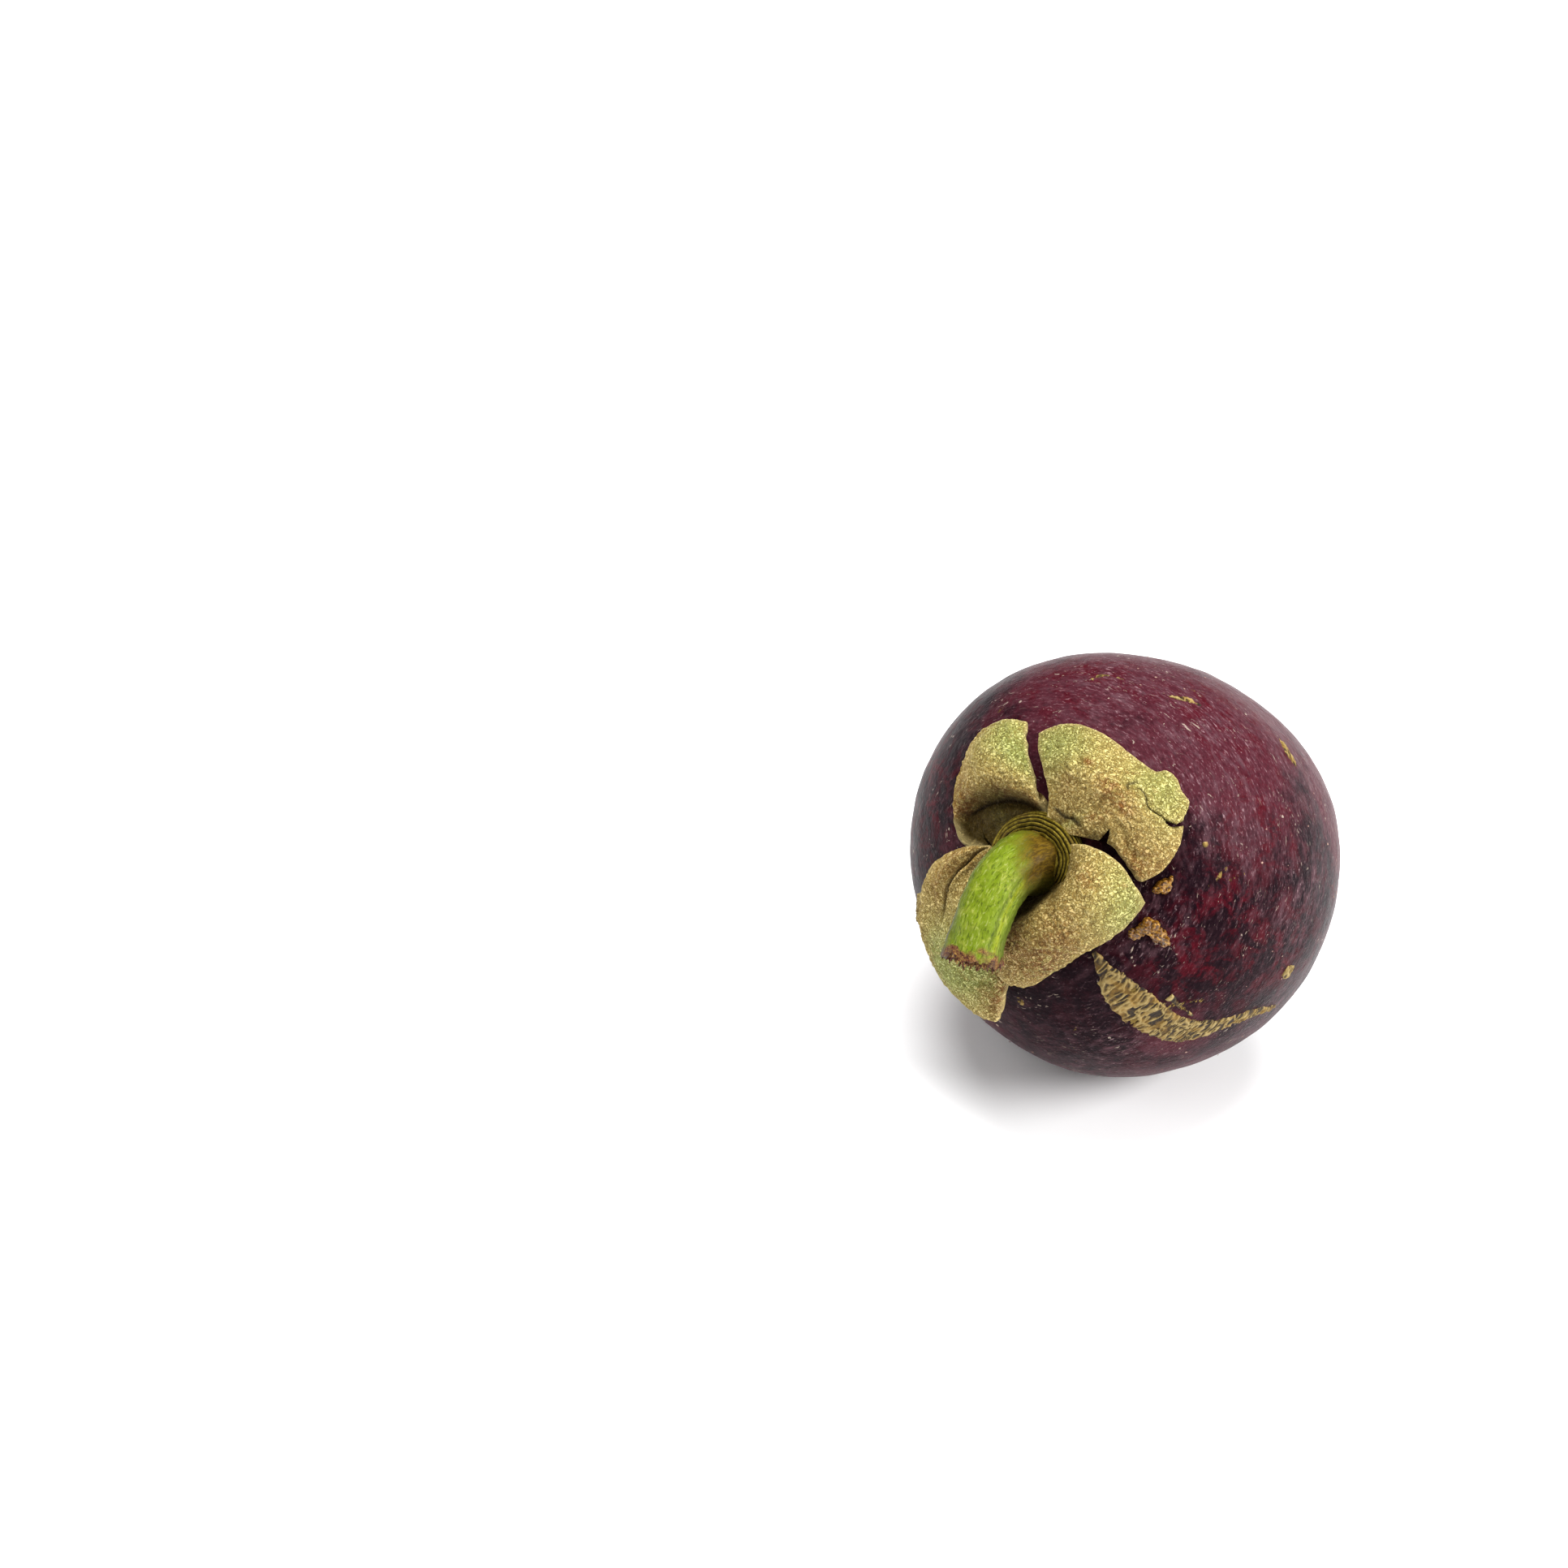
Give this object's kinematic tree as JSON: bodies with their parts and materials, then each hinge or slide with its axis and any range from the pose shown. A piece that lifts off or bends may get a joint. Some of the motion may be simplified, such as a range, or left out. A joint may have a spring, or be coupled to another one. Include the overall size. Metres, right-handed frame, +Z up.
{
  "type": "mangosteen",
  "caption": "Round dark purple tropical fruit lying on its side, with a short bent green stem and a calyx of leathery sepals.",
  "frame": {"origin": "middle of the small flat spot the fruit lies on", "axes": "+Z up; the fruit's axis leans 60 degrees from +Z towards -Y, so the stem points forward and up"},
  "size_m": [0.0626, 0.0722, 0.0609],
  "materials": {
    "rind": "satin waxy rind with corky scars",
    "stem": "green living bark, matt",
    "sepal": "leathery, finely wrinkled",
    "rosette": "dry woody, matt",
    "latex": "dried resin, semi-gloss"
  },
  "bodies": {
    "root": {"fruit": "rind", "stem": "stem", "sepal_upper_left": "sepal", "sepal_upper_right": "sepal", "sepal_lower_right": "sepal", "sepal_lower_left": "sepal", "stigma_rosette": "rosette", "latex_drop_small": "latex", "latex_drop_large": "latex"}
  },
  "joints": []
}
